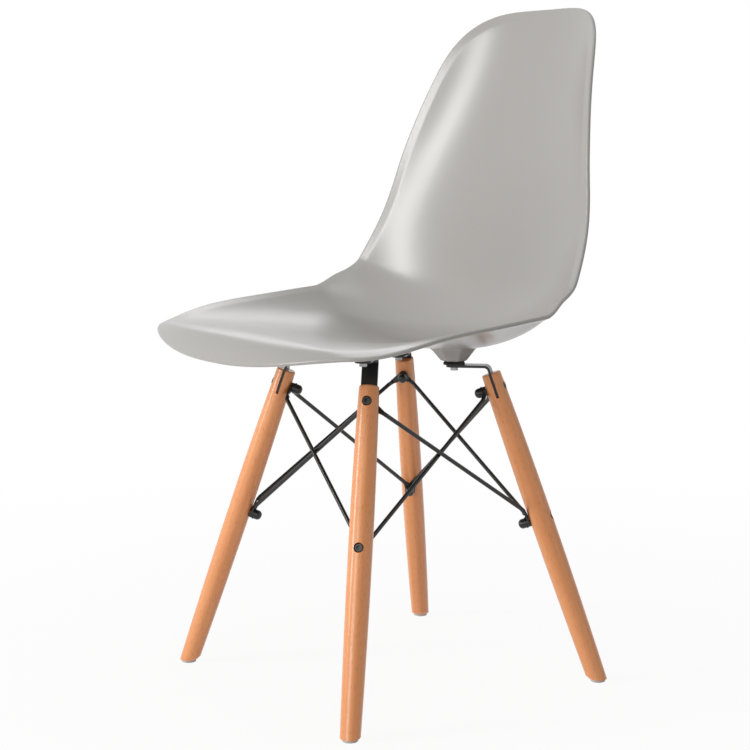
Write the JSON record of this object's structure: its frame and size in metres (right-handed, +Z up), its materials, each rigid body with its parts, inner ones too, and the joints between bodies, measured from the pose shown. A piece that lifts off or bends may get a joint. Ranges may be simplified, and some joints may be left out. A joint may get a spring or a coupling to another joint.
{
  "type": "moulded plastic shell chair",
  "caption": "Side chair with a one-piece moulded plastic seat and back on splayed turned beech legs, braced by crossed black steel rods.",
  "frame": {"origin": "on the floor under the middle of the chair's overall box, in its plane of symmetry", "axes": "+Z up, -Y the way the sitter faces, +X the sitter's left"},
  "size_m": [0.4882, 0.4961, 0.8118],
  "materials": {
    "shell_plastic": "satin moulded, warm light grey",
    "beech": "turned, clear satin lacquer",
    "black_steel": "satin black powder coat",
    "rubber": "matt black",
    "zinc_steel": "zinc plated",
    "glide_plastic": "matt light grey",
    "brass_insert": "plain turned"
  },
  "bodies": {
    "root": {"seat_shell": "shell_plastic", "leg_front_left": "beech", "bracket_front_left": "black_steel", "rubber_spacer_front_left": "rubber", "boss_insert_front_left": "brass_insert", "seat_bolt_front_left": "zinc_steel", "glide_front_left": "glide_plastic", "glide_nail_front_left": "zinc_steel", "leg_bolt_upper_front_left": "black_steel", "dome_nut_upper_front_left": "black_steel", "leg_bolt_lower_front_left": "black_steel", "dome_nut_lower_front_left": "black_steel", "leg_front_right": "beech", "bracket_front_right": "black_steel", "rubber_spacer_front_right": "rubber", "boss_insert_front_right": "brass_insert", "seat_bolt_front_right": "zinc_steel", "glide_front_right": "glide_plastic", "glide_nail_front_right": "zinc_steel", "leg_bolt_upper_front_right": "black_steel", "dome_nut_upper_front_right": "black_steel", "leg_bolt_lower_front_right": "black_steel", "dome_nut_lower_front_right": "black_steel", "leg_rear_left": "beech", "bracket_rear_left": "black_steel", "rubber_spacer_rear_left": "rubber", "boss_insert_rear_left": "brass_insert", "seat_bolt_rear_left": "zinc_steel", "glide_rear_left": "glide_plastic", "glide_nail_rear_left": "zinc_steel", "leg_bolt_upper_rear_left": "black_steel", "dome_nut_upper_rear_left": "black_steel", "leg_bolt_lower_rear_left": "black_steel", "dome_nut_lower_rear_left": "black_steel", "leg_rear_right": "beech", "bracket_rear_right": "black_steel", "rubber_spacer_rear_right": "rubber", "boss_insert_rear_right": "brass_insert", "seat_bolt_rear_right": "zinc_steel", "glide_rear_right": "glide_plastic", "glide_nail_rear_right": "zinc_steel", "leg_bolt_upper_rear_right": "black_steel", "dome_nut_upper_rear_right": "black_steel", "leg_bolt_lower_rear_right": "black_steel", "dome_nut_lower_rear_right": "black_steel", "cross_rod_front_outer": "black_steel", "cross_rod_front_inner": "black_steel", "cross_rod_left_outer": "black_steel", "cross_rod_left_inner": "black_steel", "cross_rod_rear_outer": "black_steel", "cross_rod_rear_inner": "black_steel", "cross_rod_right_outer": "black_steel", "cross_rod_right_inner": "black_steel"}
  },
  "joints": []
}
